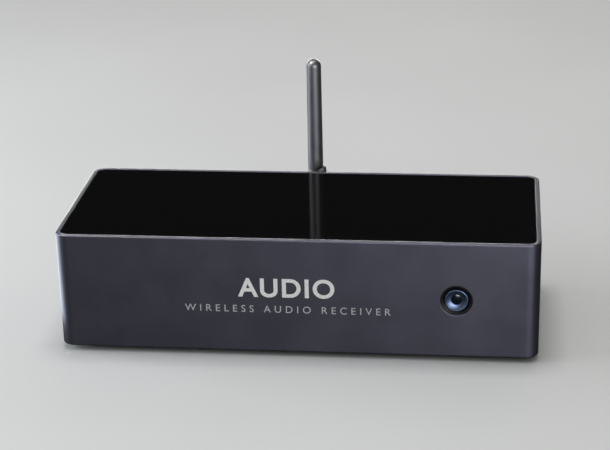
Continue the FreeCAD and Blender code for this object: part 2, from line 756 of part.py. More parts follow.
def xlr_screws():
    return Part.makeCompound(
        [casing_screw(Vec(x, XLR_FACE, z), Y, XLR_SCREW_L) for x, z in xlr_screw_places()]
    )


# Phono sockets

def rca_places(names):
    return [(RCA_X[name], z) for name in names for z in RCA_Z]


def rca_block(x):
    """The moulding that holds a stacked pair: a block on the board with a round nose for each socket."""
    z = (BOARD_TOP, RCA_Z[1] + RCA_BLOCK_ABOVE)
    body = rounded(about(x, RCA_BLOCK_W), (REAR - RCA_BLOCK_D, PANEL_IN), z, MOULD_R, Y)
    noses = [rod(RCA_NOSE_R, (PANEL_IN, RCA_NOSE_END), x, socket_z) for socket_z in RCA_Z]
    hole_r = RCA_ROOT_R + THREAD_GAP
    holes = [rod(hole_r, (REAR - RCA_ROOT_DEPTH, RCA_NOSE_END), x, socket_z) for socket_z in RCA_Z]
    return body.fuse(noses).cut(holes).removeSplitter()


def rca_sleeve(x, z):
    """The outer contact: a sleeve that the plug's skirt grips, on a thinner root."""
    grip = rod(RCA_SLEEVE_R, (RCA_NOSE_END, RCA_SLEEVE_END), x, z)
    grip = grip.makeChamfer(RCA_SLEEVE_EDGE, edges_at(grip, RCA_SLEEVE_END, Y))
    root_y = REAR - RCA_ROOT_DEPTH
    root = rod(RCA_ROOT_R, (root_y, RCA_NOSE_END), x, z)
    return grip.fuse(root).cut(rod(RCA_BORE_R, (root_y, RCA_SLEEVE_END), x, z))


def rca_insulator(x, z):
    """The coloured ring between the two contacts."""
    y = (REAR - RCA_INSULATOR_DEPTH, RCA_SLEEVE_END - RCA_INSULATOR_SHORT)
    return tube(RCA_BORE_R - THREAD_GAP, RCA_CONTACT_OUTER_R + THREAD_GAP, y, x, z)


def rca_contact(x, z):
    """The inner contact: a blind tube that takes the plug's centre pin."""
    end = RCA_SLEEVE_END - RCA_CONTACT_SHORT
    body = rod(RCA_CONTACT_OUTER_R, (REAR - RCA_INSULATOR_DEPTH, end), x, z)
    return body.cut(rod(RCA_CONTACT_R, (REAR - RCA_CONTACT_BLIND, end), x, z))


def rca_group(make, places):
    return Part.makeCompound([make(x, z) for x, z in places])


# Optical sockets

def optical_housing(x):
    """A square moulding with a deep port and two small holes for the shutter's axle."""
    outside = REAR + OPTICAL_OUT
    square = about(OPTICAL_Z, OPTICAL_SIDE)
    body = rounded(about(x, OPTICAL_SIDE), (OPTICAL_BACK, outside), square, MOULD_R, Y)
    port_y = (REAR - OPTICAL_PORT_DEPTH, outside)
    port = bevelled(about(x, OPTICAL_PORT), port_y, about(OPTICAL_Z, OPTICAL_PORT), OPTICAL_PORT_BEVEL)
    holes = axle(SHUTTER_AXLE_R + THREAD_GAP, SHUTTER_AXLE_L + SEAT_GAP, x, SHUTTER_AXIS_Y, SHUTTER_AXIS_Z)
    eye = rod(OPTICAL_EYE_R, (OPTICAL_BACK, port_y[0]), x, OPTICAL_Z)
    return body.cut([port, holes, eye])


def optical_shutter(x):
    """The spring-back flap that the plug pushes inward, with its axle and a dimple for the plug."""
    width = OPTICAL_PORT - 2 * SHUTTER_GAP
    span_z = (OPTICAL_Z - width / 2, SHUTTER_AXIS_Z)
    plate = bevelled(about(x, width), about(SHUTTER_AXIS_Y, SHUTTER_T), span_z, OPTICAL_PORT_BEVEL)
    hub = axle(SHUTTER_T / 2, width, x, SHUTTER_AXIS_Y, SHUTTER_AXIS_Z)
    pivot = axle(SHUTTER_AXLE_R, SHUTTER_AXLE_L, x, SHUTTER_AXIS_Y, SHUTTER_AXIS_Z)
    dimple_y = SHUTTER_AXIS_Y + SHUTTER_T / 2 + SHUTTER_DIMPLE_R - SHUTTER_DIMPLE_DEPTH
    dimple = Part.makeSphere(SHUTTER_DIMPLE_R, Vec(x, dimple_y, OPTICAL_Z))
    return plate.fuse([hub, pivot]).cut(dimple).removeSplitter()


def optical_element(x):
    """The emitter or detector behind the port, with a short lens reaching into it."""
    z = (BOARD_TOP, OPTICAL_Z + OPTICAL_ELEMENT_W / 2)
    body = block(about(x, OPTICAL_ELEMENT_W), (OPTICAL_BACK - OPTICAL_ELEMENT_T, OPTICAL_BACK), z)
    return body.fuse(rod(OPTICAL_LENS_R, (OPTICAL_BACK, OPTICAL_BACK + OPTICAL_LENS_L), x, OPTICAL_Z))


# Power inlet and mode switch

def dc_jack_housing():
    """The power inlet: a moulding on the board with a round nose through the panel."""
    end = REAR + DC_NOSE_OUT
    body_y = (REAR - DC_DEPTH, PANEL_IN)
    body = rounded(about(DC_X, DC_SIDE), body_y, about(DC_Z, DC_SIDE), MOULD_R, Y)
    nose = rod(DC_NOSE_R, (PANEL_IN, end), DC_X, DC_Z)
    port = rod(DC_PORT_R, (DC_FLOOR, end), DC_X, DC_Z)
    root_y = (DC_FLOOR - DC_PIN_ROOT_L - SEAT_GAP, DC_FLOOR)
    return body.fuse(nose).cut([port, rod(DC_PIN_ROOT_R + THREAD_GAP, root_y, DC_X, DC_Z)])


def dc_jack_pin():
    """The centre pin, rounded at its tip, on a thinner root."""
    tip = REAR - DC_PIN_IN
    pin = rod(DC_PIN_R, (DC_FLOOR, tip), DC_X, DC_Z)
    pin = pin.makeFillet(DC_PIN_TIP_R, edges_at(pin, tip, Y))
    return pin.fuse(rod(DC_PIN_ROOT_R, (DC_FLOOR - DC_PIN_ROOT_L, DC_FLOOR), DC_X, DC_Z))


def mode_switch_body():
    """A slide switch behind the panel: a hollow moulding with a slot for the knob."""
    y = (REAR - MODE_BODY_D, PANEL_IN)
    body = block(about(MODE_X, MODE_BODY_W), y, (BOARD_TOP, MODE_Z + MODE_BODY_ABOVE))
    hollow_y = (y[0] + MODE_BACK_T, PANEL_IN - MODE_SKIN)
    hollow = block(about(MODE_X, MODE_HOLLOW[0]), hollow_y, about(MODE_Z, MODE_HOLLOW[1]))
    slot_y = (PANEL_IN - MODE_SKIN, PANEL_IN)
    slot = block(about(MODE_X, MODE_SLOT[0]), slot_y, about(MODE_Z, MODE_SLOT[1]))
    return body.cut([hollow, slot])


def mode_switch_slider():
    """The knob and the shoe it stands on, at the left end of its travel."""
    x = MODE_X - MODE_TRAVEL / 2
    end = REAR + MODE_KNOB_OUT
    shoe_y = (PANEL_IN - MODE_SKIN - MODE_SHOE_GAP - MODE_SHOE_T, PANEL_IN - MODE_SKIN - MODE_SHOE_GAP)
    knob_z = about(MODE_Z, MODE_KNOB[1])
    knob = rounded(about(x, MODE_KNOB[0]), (shoe_y[1], end), knob_z, MODE_KNOB_R, Y)
    for step in (-MODE_GROOVE_PITCH, 0.0, MODE_GROOVE_PITCH):
        knob = knob.cut(block(about(x + step, MODE_GROOVE_W), (end - MODE_GROOVE_W, end), knob_z))
    return knob.fuse(block(about(x, MODE_SHOE[0]), shoe_y, about(MODE_Z, MODE_SHOE[1])))


# Aerial

def on_aerial(radius, y):
    """A cylinder about the axis of the aerial's socket."""
    return rod(radius, y, AERIAL_X, AERIAL_Z)


def antenna_bulkhead():
    """The threaded socket through the panel, with an inner flange and a tail for the cable."""
    bore_y = SMA_END - SMA_BORE_L
    barrel = on_aerial(SMA_R, (PANEL_IN, SMA_END)).cut(on_aerial(SMA_BORE_R, (bore_y, SMA_END)))
    flange_y = PANEL_IN - SMA_FLANGE_T
    flange = on_aerial(SMA_FLANGE_R, (flange_y, PANEL_IN))
    tail = on_aerial(SMA_TAIL_R, (LEAD_START, flange_y))
    pin = on_aerial(SMA_PIN_R, (bore_y, SMA_END - SMA_PIN_SHORT))
    return barrel.fuse([flange, tail, pin])


def antenna_washer():
    return tube(NUT_R, SMA_R + THREAD_GAP, (REAR, REAR + WASHER_T), AERIAL_X, AERIAL_Z)


def antenna_nut():
    """The thin hexagonal nut that holds the socket to the panel."""
    start = REAR + WASHER_T
    nut = aimed(hexagon(NUT_R, NUT_T), Vec(AERIAL_X, start, AERIAL_Z), Y)
    return nut.cut(on_aerial(SMA_R + THREAD_GAP, (start, start + NUT_T)))


def antenna_coupling_nut():
    """The aerial's fluted nut: threaded on the socket, with a shoulder that holds the knuckle's spindle."""
    body = on_aerial(COUPLING_R, (COUPLING_START, COUPLING_END))
    ends = edges_at(body, COUPLING_START, Y) + edges_at(body, COUPLING_END, Y)
    body = body.makeFillet(COUPLING_EDGE_R, ends)
    cuts = [
        on_aerial(SMA_R + THREAD_GAP, (COUPLING_START, SHOULDER_Y)),
        on_aerial(SPINDLE_R + THREAD_GAP, (SHOULDER_Y, COUPLING_END)),
    ]
    flute_y = (COUPLING_START + FLUTE_INSET, COUPLING_END - FLUTE_INSET)
    for index in range(FLUTE_COUNT):
        turn = 2 * math.pi * index / FLUTE_COUNT
        flute_x = AERIAL_X + FLUTE_REACH * math.cos(turn)
        flute_z = AERIAL_Z + FLUTE_REACH * math.sin(turn)
        cuts.append(rod(FLUTE_R, flute_y, flute_x, flute_z))
    return body.cut(cuts)


def hinge_disc(span_x, radius):
    """A disc on the fold axis, between two distances across the aerial."""
    start = Vec(AERIAL_X + span_x[0], HINGE_Y, AERIAL_Z)
    return Part.makeCylinder(radius, span_x[1] - span_x[0], start, X)


def antenna_knuckle():
    """The swivel: a spindle held in the coupling nut, a collar, and one ear beside the whip's root."""
    start = COUPLING_END + SEAT_GAP
    head_end = SHOULDER_Y - SEAT_GAP
    collar = on_aerial(EAR_X[1], (start, HINGE_Y - HINGE_R - SEAT_GAP))
    spindle = on_aerial(SPINDLE_R, (head_end, start))
    head = on_aerial(SMA_R - THREAD_GAP, (SMA_END + SPINDLE_END_GAP, head_end))
    ear_x = (AERIAL_X + EAR_X[0], AERIAL_X + EAR_X[1])
    web = block(ear_x, (start, HINGE_Y), about(AERIAL_Z, WEB_H))
    web = web.common(on_aerial(WEB_R, (start, HINGE_Y)))
    ear = hinge_disc(EAR_X, HINGE_R)
    ear = ear.makeFillet(EAR_EDGE_R, edges_at(ear, ear_x[1], X))
    body = collar.fuse([spindle, head, web, ear]).removeSplitter()
    return body.cut(hinge_disc(EAR_X, HINGE_PIN_R + HINGE_PRESS_GAP))


def antenna_hinge_pin():
    """The rivet that the whip folds on, fixed in the knuckle's ear."""
    head_x = BLADE_X[0] - SEAT_GAP
    shank = hinge_disc((head_x, EAR_X[1]), HINGE_PIN_R)
    head = hinge_disc((head_x - HINGE_HEAD_T, head_x), HINGE_HEAD_R)
    tail = hinge_disc((EAR_X[1], EAR_X[1] + HINGE_TAIL_T), HINGE_TAIL_R)
    return shank.fuse([head, tail]).removeSplitter()


def antenna_whip():
    """The aerial's sheath: a flat root beside the ear, then a round, tapered rod with a domed tip."""
    straight = WHIP_TIP_Z - WHIP_TOP_R - WHIP_START
    at = Vec(AERIAL_X, HINGE_Y, WHIP_START)
    shaft = Part.makeCone(WHIP_BASE_R, WHIP_TOP_R, straight, at)
    tip = Part.makeSphere(WHIP_TOP_R, at + Z * straight)
    root_x = (AERIAL_X + BLADE_X[0], AERIAL_X + BLADE_X[1])
    neck = post(WHIP_BASE_R, (AERIAL_Z, WHIP_START), AERIAL_X, HINGE_Y)
    neck = neck.common(block(root_x, about(HINGE_Y, 4 * WHIP_BASE_R), (AERIAL_Z, WHIP_START)))
    root = hinge_disc(BLADE_X, BLADE_R)
    root = root.makeFillet(BLADE_EDGE_R, edges_at(root, root_x[0], X))
    body = shaft.fuse([tip, neck, root]).removeSplitter()
    bore = post(WHIP_BORE_R, (AERIAL_Z - BLADE_R, WHIP_BORE_TOP), AERIAL_X + WHIP_BORE_X, HINGE_Y)
    return body.cut([bore, hinge_disc(BLADE_X, HINGE_PIN_R + HINGE_FREE_GAP)])


def antenna_element():
    """The radiating rod inside the sheath."""
    z = (WHIP_START + ELEMENT_START, WHIP_BORE_TOP - ELEMENT_SHORT)
    return post(ELEMENT_R, z, AERIAL_X + WHIP_BORE_X, HINGE_Y)


def antenna_cable():
    """The thin coaxial lead: forward from the socket's tail, round one bend and down to the module."""
    start = Vec(AERIAL_X, LEAD_START, AERIAL_Z)
    bend_start = Vec(AERIAL_X, LEAD_Y + LEAD_BEND_R, AERIAL_Z)
    bend_end = Vec(AERIAL_X, LEAD_Y, AERIAL_Z - LEAD_BEND_R)
    slant = LEAD_BEND_R * math.sqrt(0.5)
    bend_middle = Vec(AERIAL_X, bend_start.y - slant, bend_end.z + slant)
    path = Part.Wire([
        Part.makeLine(start, bend_start),
        Part.Arc(bend_start, bend_middle, bend_end).toShape(),
        Part.makeLine(bend_end, Vec(AERIAL_X, LEAD_Y, LEAD_END)),
    ])
    section = Part.Wire(Part.makeCircle(LEAD_R, start, -Y))
    return path.makePipeShell([section], True, True)


# Main board

def standoff_places():
    return [(x, y) for x in STANDOFF_X for y in STANDOFF_Y]


def main_board():
    x = about(0, BOARD_W)
    board = rounded(x, (BOARD_FRONT, BOARD_REAR), (BOARD_Z, BOARD_TOP), BOARD_CORNER_R)
    return board.cut([post(CLEAR_R, (BOARD_Z, BOARD_TOP), px, py) for px, py in standoff_places()])


def board_standoffs():
    """Hexagonal pillars pressed into the bottom plate."""
    pillars = []
    for x, y in standoff_places():
        pillar = aimed(hexagon(STANDOFF_R, STANDOFF_H), Vec(x, y, PLATE_TOP), Z)
        pillars.append(pillar.cut(post(M25_R + THREAD_GAP, (PLATE_TOP, BOARD_Z), x, y)))
    return Part.makeCompound(pillars)


def board_screws():
    return Part.makeCompound(
        [small_screw(Vec(x, y, BOARD_TOP), Z, BOARD_SCREW_L) for x, y in standoff_places()]
    )


def wireless_module():
    """The radio: a small card with a metal can and a snap-on socket for the aerial's lead."""
    card_top = BOARD_TOP + MODULE_T
    card = block(about(AERIAL_X, MODULE_SIZE[0]), about(MODULE_Y, MODULE_SIZE[1]), (BOARD_TOP, card_top))
    can_y = about(MODULE_Y + MODULE_CAN_DY, MODULE_CAN_SIZE[1])
    can = rounded(about(AERIAL_X, MODULE_CAN_SIZE[0]), can_y, (card_top, MODULE_TOP), MODULE_CAN_R)
    return card.fuse([can, post(LEAD_SOCKET_R, (card_top, LEAD_END), AERIAL_X, LEAD_Y)])


def chip(x, y, side, height):
    """A square chip with a small orientation dimple."""
    top = BOARD_TOP + height
    body = rounded(about(x, side), about(y, side), (BOARD_TOP, top), MOULD_R)
    away = side * CHIP_DIMPLE_SHARE
    return body.cut(post(CHIP_DIMPLE_R, (top - CHIP_DIMPLE_DEPTH, top), x - away, y + away))


def capacitors():
    """The output stage's can capacitors."""
    cans = []
    for x in CAN_X:
        for y in CAN_Y:
            can = post(CAN_R, (BOARD_TOP, BOARD_TOP + CAN_H), x, y)
            cans.append(can.makeFillet(CAN_EDGE_R, edges_at(can, BOARD_TOP + CAN_H)))
    return Part.makeCompound(cans)


ANALOG = ("analog_out", "analog_in")

PIECES = {
    "enclosure_shell": enclosure_shell(),
    "top_glass": top_glass(),
    "glass_tape": glass_tape(),
    "bottom_plate": bottom_plate(),
    "bottom_screws": bottom_screws(),
    "foot_front_left": foot(-1, -1),
    "foot_front_right": foot(1, -1),
    "foot_back_left": foot(-1, 1),
    "foot_back_right": foot(1, 1),
    "rear_panel": rear_panel(),
    "rear_panel_screws": rear_panel_screws(),
    "button_bezel": button_bezel(),
    "power_button": power_button(),
    "light_pipe": light_pipe(),
    "tact_plunger": tact_plunger(),
    "tact_switch": tact_switch(),
    "status_led": status_led(),
    "switch_board": switch_board(),
    "switch_board_screws": switch_board_screws(),
    "ribbon_cable": ribbon_cable(),
    "ribbon_headers": ribbon_headers(),
    "xlr_left_housing": xlr_housing(XLR_X["left"]),
    "xlr_right_housing": xlr_housing(XLR_X["right"]),
    "xlr_left_pins": xlr_pins(XLR_X["left"]),
    "xlr_right_pins": xlr_pins(XLR_X["right"]),
    "xlr_screws": xlr_screws(),
    "analog_out_block": rca_block(RCA_X["analog_out"]),
    "analog_in_block": rca_block(RCA_X["analog_in"]),
    "coax_block": rca_block(RCA_X["coax"]),
    "rca_sleeves": rca_group(rca_sleeve, rca_places(RCA_X)),
    "rca_insulators_white": rca_group(rca_insulator, [(RCA_X[name], RCA_Z[1]) for name in ANALOG]),
    "rca_insulators_red": rca_group(rca_insulator, [(RCA_X[name], RCA_Z[0]) for name in ANALOG]),
    "rca_insulators_orange": rca_group(rca_insulator, rca_places(["coax"])),
    "rca_centre_contacts": rca_group(rca_contact, rca_places(RCA_X)),
    "optical_out_housing": optical_housing(OPTICAL_X["out"]),
    "optical_in_housing": optical_housing(OPTICAL_X["in"]),
    "optical_out_shutter": optical_shutter(OPTICAL_X["out"]),
    "optical_in_shutter": optical_shutter(OPTICAL_X["in"]),
    "optical_out_emitter": optical_element(OPTICAL_X["out"]),
    "optical_in_detector": optical_element(OPTICAL_X["in"]),
    "dc_jack_housing": dc_jack_housing(),
    "dc_jack_pin": dc_jack_pin(),
    "mode_switch_body": mode_switch_body(),
    "mode_switch_slider": mode_switch_slider(),
    "antenna_bulkhead": antenna_bulkhead(),
    "antenna_washer": antenna_washer(),
    "antenna_nut": antenna_nut(),
    "antenna_coupling_nut": antenna_coupling_nut(),
    "antenna_knuckle": antenna_knuckle(),
    "antenna_hinge_pin": antenna_hinge_pin(),
    "antenna_whip": antenna_whip(),
    "antenna_element": antenna_element(),
    "antenna_cable": antenna_cable(),
    "main_board": main_board(),
    "board_standoffs": board_standoffs(),
    "board_screws": board_screws(),
    "wireless_module": wireless_module(),
    "converter_chip": chip(*CONVERTER_CHIP),
    "control_chip": chip(*CONTROL_CHIP),
    "capacitors": capacitors(),
}

os.makedirs("parts", exist_ok=True)
for name, shape in PIECES.items():
    shape.exportStep(os.path.join("parts", name + ".step"))
    solids = len(shape.Solids)
    print(f"{name}: {solids} solid{'s' if solids > 1 else ''}, {'valid' if shape.isValid() else 'NOT VALID'}")
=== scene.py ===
import json
import math

import bpy
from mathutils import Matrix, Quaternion, Vector

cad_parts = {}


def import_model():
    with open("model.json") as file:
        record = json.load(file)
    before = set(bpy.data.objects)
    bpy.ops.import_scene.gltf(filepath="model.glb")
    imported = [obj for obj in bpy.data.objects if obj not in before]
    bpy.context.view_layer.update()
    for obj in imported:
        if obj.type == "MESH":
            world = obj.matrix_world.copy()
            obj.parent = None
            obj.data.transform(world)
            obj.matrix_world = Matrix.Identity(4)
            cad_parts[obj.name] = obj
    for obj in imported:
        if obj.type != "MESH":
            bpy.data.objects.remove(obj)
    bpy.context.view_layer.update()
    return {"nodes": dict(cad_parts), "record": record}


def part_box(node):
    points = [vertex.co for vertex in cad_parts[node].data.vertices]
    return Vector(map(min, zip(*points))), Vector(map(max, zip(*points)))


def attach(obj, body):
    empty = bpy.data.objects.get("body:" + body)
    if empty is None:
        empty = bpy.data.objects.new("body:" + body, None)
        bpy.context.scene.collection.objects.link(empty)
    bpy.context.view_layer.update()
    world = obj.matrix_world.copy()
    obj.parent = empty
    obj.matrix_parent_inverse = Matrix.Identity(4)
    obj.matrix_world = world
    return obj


# The looks of the small wireless audio receiver: procedural finishes for every CAD node, the printed
# words, the floor, the lights and the camera.  Metres, in the CAD model's own frame.

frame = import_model()
MM = 0.001

# Places read from the frame
shell_low, shell_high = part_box("enclosure_shell")
panel_low, panel_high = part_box("rear_panel")
HALF_W = shell_high.x
FRONT_Y = shell_low.y
REAR_Y = shell_high.y
MID_Z = (shell_low.z + shell_high.z) / 2
CAP_CENTRE = sum(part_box("power_button"), Vector()) / 2

# Printed words: capital heights, widths and distances from the middle of the front or from an edge
INK_PROUD = 0.02 * MM
CAPITAL_SHARE = 0.70
WORDS_X = -3.7 * MM
WORD_H = 8.8 * MM
WORD_W = 44 * MM
WORD_ABOVE = 3.6 * MM
WORD_BOLD = 0.035
LINE_H = 3.4 * MM
LINE_W = 94 * MM
LINE_BELOW = 6.6 * MM
REAR_LABEL_H = 1.9 * MM
REAR_LABEL_INSET = 3.4 * MM
REAR_LABEL_GAP = 2.6 * MM

# Camera, placed from the middle of the front face
CAMERA_AZIMUTH = 7.12
CAMERA_ELEVATION = 24.2
CAMERA_DISTANCE = 0.790
CAMERA_ROLL = -1.3
CAMERA_LENS = 103.0
CAMERA_AIM_ABOVE = 17 * MM

# Rings that Blender's wave texture fits into a unit length, times a full turn
WAVE_TURNS = 20.0

# Brightness of the surroundings
WORLD_SEEN = 0.72
WORLD_MIRRORED = 0.010
WORLD_GENERAL = 0.48

# Light colours
COOL = (0.86, 0.93, 1.0)
WARM = (1.0, 0.96, 0.88)
VIOLET = (0.93, 0.92, 1.0)
WHITE = (1.0, 1.0, 1.0)

FLOOR_REACH = 8.0


# Materials

class Finish:
    """A procedural material on one Principled shader. Sizes are in metres on the object."""

    def __init__(self, name, metallic=0.0):
        self.material = bpy.data.materials.new(name)
        self.material.use_nodes = True
        self.tree = self.material.node_tree
        self.shader = self.tree.nodes["Principled BSDF"]
        self.coords = self.add("ShaderNodeTexCoord").outputs["Object"]
        self.normal = None
        self.set("Metallic", metallic)

    def add(self, kind, **settings):
        node = self.tree.nodes.new(kind)
        for key, value in settings.items():
            setattr(node, key, value)
        return node

    def feed(self, value, socket):
        """Links another node's output to an input, or sets the input to a number or colour."""
        if isinstance(value, bpy.types.NodeSocket):
            self.tree.links.new(value, socket)
        elif isinstance(value, tuple):
            socket.default_value = (*value, 1.0)
        else:
            socket.default_value = value

    def set(self, name, value):
        """Feeds one of the shader's inputs."""
        self.feed(value, self.shader.inputs[name])

    def noise(self, size, detail=3.0, stretch=(1, 1, 1), offset=0.0):
        """Noise from 0 to 1 whose blobs are about a size across, drawn out along the stretched axes."""
        mapping = self.add("ShaderNodeMapping")
        mapping.inputs["Scale"].default_value = [1 / (size * part) for part in stretch]
        mapping.inputs["Location"].default_value = (offset, offset * 1.7, offset * 2.3)
        self.tree.links.new(self.coords, mapping.inputs["Vector"])
        noise = self.add("ShaderNodeTexNoise")
        noise.inputs["Scale"].default_value = 1.0
        noise.inputs["Detail"].default_value = detail
        self.tree.links.new(mapping.outputs["Vector"], noise.inputs["Vector"])
        return noise.outputs["Fac"]

    def rings(self, centre, pitch):
        """Fine uneven rings from 0 to 1 about a line along Y through a centre."""
        mapping = self.add("ShaderNodeMapping")
        mapping.inputs["Location"].default_value = [-part for part in centre]
        self.tree.links.new(self.coords, mapping.inputs["Vector"])
        wave = self.add("ShaderNodeTexWave", wave_type="RINGS", rings_direction="Y")
        wave.inputs["Scale"].default_value = math.tau / (WAVE_TURNS * pitch)
        wave.inputs["Distortion"].default_value = 1.5
        wave.inputs["Detail"].default_value = 3.0
        self.tree.links.new(mapping.outputs["Vector"], wave.inputs["Vector"])
        return wave.outputs["Fac"]

    def remap(self, value, low, high, start=0.3, end=0.7):
        """Takes a value from start..end to low..high."""
        node = self.add("ShaderNodeMapRange")
        for name, number in (("From Min", start), ("From Max", end), ("To Min", low), ("To Max", high)):
            node.inputs[name].default_value = number
        self.tree.links.new(value, node.inputs["Value"])
        return node.outputs["Result"]

    def mix(self, factor, first, second):
        """Blends two colours."""
        node = self.add("ShaderNodeMix", data_type="RGBA")
        self.tree.links.new(factor, node.inputs["Factor"])
        inputs = {socket.name: socket for socket in node.inputs if socket.type == "RGBA"}
        self.feed(first, inputs["A"])
        self.feed(second, inputs["B"])
        return [socket for socket in node.outputs if socket.type == "RGBA"][0]

    def math(self, operation, first, second):
        """Combines two values, each a number or another node's output."""
        node = self.add("ShaderNodeMath", operation=operation)
        self.feed(first, node.inputs[0])
        self.feed(second, node.inputs[1])
        return node.outputs["Value"]

    def soften_edges(self, radius):
        """Rounds every hard edge in shading and returns a mask that is 1 along those edges."""
        bevel = self.add("ShaderNodeBevel", samples=6)
        bevel.inputs["Radius"].default_value = radius
        self.normal = bevel.outputs["Normal"]
        geometry = self.add("ShaderNodeNewGeometry")
        dot = self.add("ShaderNodeVectorMath", operation="DOT_PRODUCT")
        self.tree.links.new(self.normal, dot.inputs[0])
        self.tree.links.new(geometry.outputs["Normal"], dot.inputs[1])
        return self.remap(dot.outputs["Value"], 1.0, 0.0, 0.80, 0.99)

    def bump(self, height, depth, strength=1.0):
        """Adds relief of a depth in metres."""
        node = self.add("ShaderNodeBump")
        node.inputs["Strength"].default_value = strength
        node.inputs["Distance"].default_value = depth
        self.tree.links.new(height, node.inputs["Height"])
        if self.normal is not None:
            self.tree.links.new(self.normal, node.inputs["Normal"])
        self.normal = node.outputs["Normal"]

    def done(self):
        """Connects the relief and returns the material."""
        self.set("Normal", self.normal)
        return self.material


def shade(colour, share):
    """A colour made brighter or darker by a share."""
    return tuple(part * share for part in colour)


def blasted_metal(name, base, roughness, edge_wear_and_highlight_gain=1.6):
    """Bead-blasted and anodised aluminium: fine grain, slow tone changes, and edges painted brighter in
    patches, partly as wear and partly as a painted edge highlight.
    """
    finish = Finish(name, metallic=0.92)
    edge = finish.soften_edges(0.5 * MM)
    slow = finish.noise(50 * MM, detail=2)
    fine = finish.noise(0.22 * MM, detail=2, offset=3.0)
    tone = finish.mix(finish.remap(slow, 0.0, 1.0), shade(base, 0.96), shade(base, 1.04))
    speckle = finish.mix(finish.remap(fine, 0.0, 0.55), tone, shade(base, 1.45))
    # Brighter patches along the edges: partly wear, partly a painted highlight that brightens the lip and
    # the rounded corners.
    worn = finish.math("MULTIPLY", edge, finish.remap(finish.noise(4 * MM, offset=7.0), 0.35, 1.0))
    finish.set("Base Color", finish.mix(worn, speckle, shade(base, edge_wear_and_highlight_gain)))
    smudge = finish.noise(18 * MM, detail=4, offset=11.0)
    sheen = finish.remap(smudge, roughness - 0.02, roughness + 0.02)
    finish.set("Roughness", finish.math("ADD", sheen, finish.remap(fine, -0.03, 0.03)))
    finish.bump(fine, 0.012 * MM)
    return finish.done()


def black_glass(name):
    """Dark polished glass with a little dust and faint wipe marks."""
    base = (0.0080, 0.0080, 0.0083)
    finish = Finish(name)
    finish.set("Specular IOR Level", 0.09)
    edge = finish.soften_edges(0.3 * MM)
    wipe = finish.noise(12 * MM, detail=3, stretch=(5, 1, 1))
    finish.set("Roughness", finish.remap(wipe, 0.020, 0.060))
    dust = finish.remap(finish.noise(0.35 * MM, detail=1, offset=5.0), 0.0, 1.0, 0.76, 0.84)
    dusty = finish.mix(dust, base, (0.020, 0.020, 0.021))
    finish.set("Base Color", finish.mix(edge, dusty, (0.014, 0.015, 0.016)))
    finish.bump(finish.noise(90 * MM, detail=1, offset=9.0), 0.02 * MM, 0.5)
    return finish.done()


def moulded(name, base, roughness, grain=0.4, depth=0.02, specular=0.5):
    """Moulded plastic or rubber: light texture, uneven sheen, paler edges. Grain and depth in mm."""
    finish = Finish(name)
    finish.set("Specular IOR Level", specular)
    edge = finish.soften_edges(0.3 * MM)
    slow = finish.noise(10 * MM, detail=3, offset=4.0)
    tone = finish.mix(finish.remap(slow, 0.0, 1.0), shade(base, 0.85), shade(base, 1.15))
    finish.set("Base Color", finish.mix(finish.math("MULTIPLY", edge, 0.5), tone, shade(base, 1.6)))
    finish.set("Roughness", finish.remap(slow, roughness - 0.06, roughness + 0.06))
    finish.bump(finish.noise(grain * MM, detail=2), depth * MM)
    return finish.done()


def plated(name, base, roughness, streak=(1, 6, 1), centre=None):
    """Plated or turned metal with fine marks along a streak, or in rings about a centre."""
    finish = Finish(name, metallic=1.0)
    edge = finish.soften_edges(0.25 * MM)
    if centre is None:
        marks = finish.noise(0.30 * MM, detail=2, stretch=streak)
    else:
        marks = finish.rings(centre, 0.22 * MM)
    slow = finish.noise(6 * MM, detail=3, offset=2.0)
    tone = finish.mix(finish.remap(slow, 0.0, 1.0), shade(base, 0.86), shade(base, 1.05))
    bright = tuple(min(1.0, part * 1.25) for part in base)
    finish.set("Base Color", finish.mix(edge, tone, bright))
    finish.set("Roughness", finish.remap(marks, roughness * 0.85, roughness * 1.2))
    finish.bump(marks, 0.002 * MM)
    return finish.done()


def printed_ink(name, base, worn):
    """Screen-printed ink: slightly thin in places, with a fine grain."""
    finish = Finish(name)
    thin = finish.remap(finish.noise(0.6 * MM), 0.0, 1.0, 0.45, 0.75)
    finish.set("Base Color", finish.mix(thin, base, worn))
    finish.set("Roughness", finish.remap(thin, 0.45, 0.60, 0.0, 1.0))
    finish.bump(finish.noise(0.2 * MM), 0.01 * MM)
    return finish.done()


def board_lacquer(name):
    """Green solder lacquer with faint copper runs under it."""
    base = (0.010, 0.070, 0.035)
    finish = Finish(name)
    along = finish.noise(1.2 * MM, detail=0, stretch=(8, 1, 1))
    across = finish.noise(1.2 * MM, detail=0, stretch=(1, 8, 1), offset=6.0)
    runs = finish.remap(along, 0.0, 1.0, 0.50, 0.54)
    cross = finish.remap(across, 0.0, 1.0, 0.50, 0.54)
    finish.set("Base Color", finish.mix(finish.math("MULTIPLY", runs, cross), base, (0.02, 0.13, 0.06)))
    finish.set("Roughness", finish.remap(finish.noise(8 * MM, offset=3.0), 0.24, 0.38))
    finish.bump(runs, 0.03 * MM)
    return finish.done()


SLATE = (0.067, 0.067, 0.084)
BLACK = (0.012, 0.012, 0.013)

